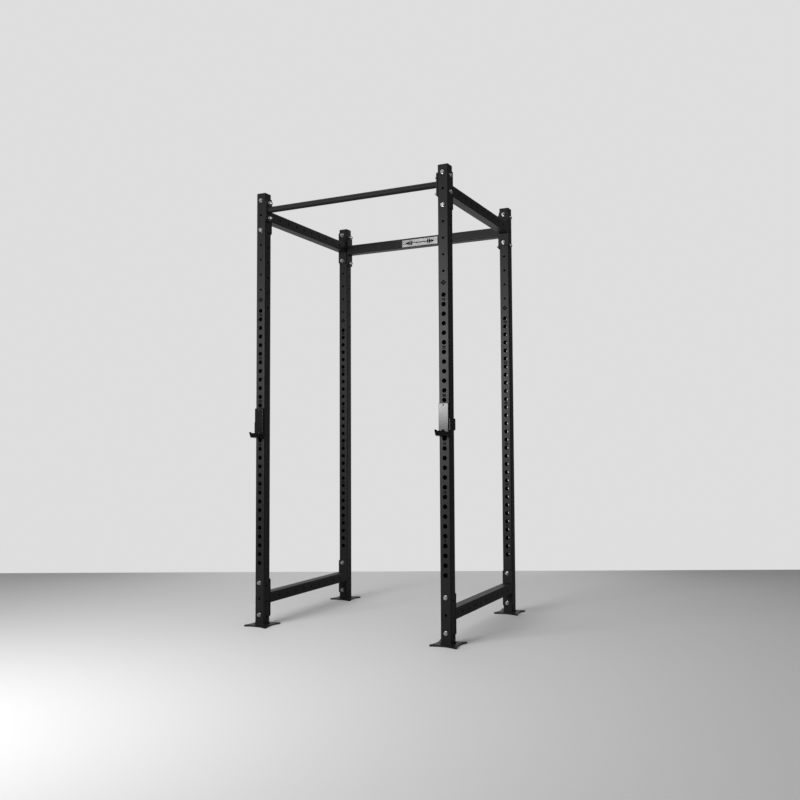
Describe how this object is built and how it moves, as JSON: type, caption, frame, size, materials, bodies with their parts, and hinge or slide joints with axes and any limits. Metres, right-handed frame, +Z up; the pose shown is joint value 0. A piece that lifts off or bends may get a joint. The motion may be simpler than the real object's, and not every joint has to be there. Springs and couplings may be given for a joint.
{
  "type": "power cage",
  "caption": "Free-standing barbell cage of four drilled square uprights, bolted beams, a round pull-up bar and a pair of swinging J-hooks that hold a bar.",
  "frame": {"origin": "on the floor, midway between the four uprights", "axes": "+X to the lifter's right seen from the front, +Y to the back, +Z up"},
  "size_m": [1.306, 1.1254, 2.498],
  "materials": {
    "frame_paint": "fine textured black powder coat",
    "bar_paint": "black powder coat on the pull-up bar",
    "hook_paint": "black powder coat on bent plate",
    "liner_plastic": "smooth black wear plastic",
    "pad_rubber": "thin black protective pad",
    "cap_plastic": "moulded black plastic",
    "zinc_hardware": "bright zinc plate",
    "pin_steel": "bright plated pin",
    "screw_steel": "black oxide socket screws",
    "name_plate_metal": "brushed blank plate with a dark border",
    "rivet_metal": "domed rivets"
  },
  "bodies": {
    "frame": {"front_left_end_cap": "cap_plastic", "front_left_foot_plate": "frame_paint", "front_left_upright": "frame_paint", "front_right_end_cap": "cap_plastic", "front_right_foot_plate": "frame_paint", "front_right_upright": "frame_paint", "left_bottom_beam": "frame_paint", "left_bottom_beam_front_flange": "frame_paint", "left_bottom_beam_rear_flange": "frame_paint", "left_top_beam": "frame_paint", "left_top_beam_front_flange": "frame_paint", "left_top_beam_rear_flange": "frame_paint", "name_plate": "name_plate_metal", "name_plate_rivets": "rivet_metal", "pull_up_bar": "bar_paint", "pull_up_bar_bolts": "zinc_hardware", "pull_up_bar_left_flange": "frame_paint", "pull_up_bar_nuts": "zinc_hardware", "pull_up_bar_right_flange": "frame_paint", "pull_up_bar_washers": "zinc_hardware", "rear_beam_bolts": "zinc_hardware", "rear_beam_nuts": "zinc_hardware", "rear_beam_washers": "zinc_hardware", "rear_left_end_cap": "cap_plastic", "rear_left_foot_plate": "frame_paint", "rear_left_upright": "frame_paint", "rear_right_end_cap": "cap_plastic", "rear_right_foot_plate": "frame_paint", "rear_right_upright": "frame_paint", "rear_top_beam": "frame_paint", "rear_top_beam_left_flange": "frame_paint", "rear_top_beam_right_flange": "frame_paint", "right_bottom_beam": "frame_paint", "right_bottom_beam_front_flange": "frame_paint", "right_bottom_beam_rear_flange": "frame_paint", "right_top_beam": "frame_paint", "right_top_beam_front_flange": "frame_paint", "right_top_beam_rear_flange": "frame_paint", "side_beam_bolts": "zinc_hardware", "side_beam_nuts": "zinc_hardware", "side_beam_washers": "zinc_hardware"},
    "left_hook": {"left_hook_bracket": "hook_paint", "left_hook_face_liner": "liner_plastic", "left_hook_guard_pad": "pad_rubber", "left_hook_pin": "pin_steel", "left_hook_screws": "screw_steel", "left_hook_shelf_liner": "liner_plastic"},
    "right_hook": {"right_hook_bracket": "hook_paint", "right_hook_face_liner": "liner_plastic", "right_hook_guard_pad": "pad_rubber", "right_hook_pin": "pin_steel", "right_hook_screws": "screw_steel", "right_hook_shelf_liner": "liner_plastic"}
  },
  "joints": [
    {"name": "left_hook_swing", "type": "hinge", "parent": "frame", "child": "left_hook", "pos_m": [-0.578, -0.5055, 1.206], "axis": [0, 1, 0], "range_deg": [0, 90]},
    {"name": "right_hook_swing", "type": "hinge", "parent": "frame", "child": "right_hook", "pos_m": [0.578, -0.5055, 1.206], "axis": [0, -1, 0], "range_deg": [0, 90]}
  ]
}
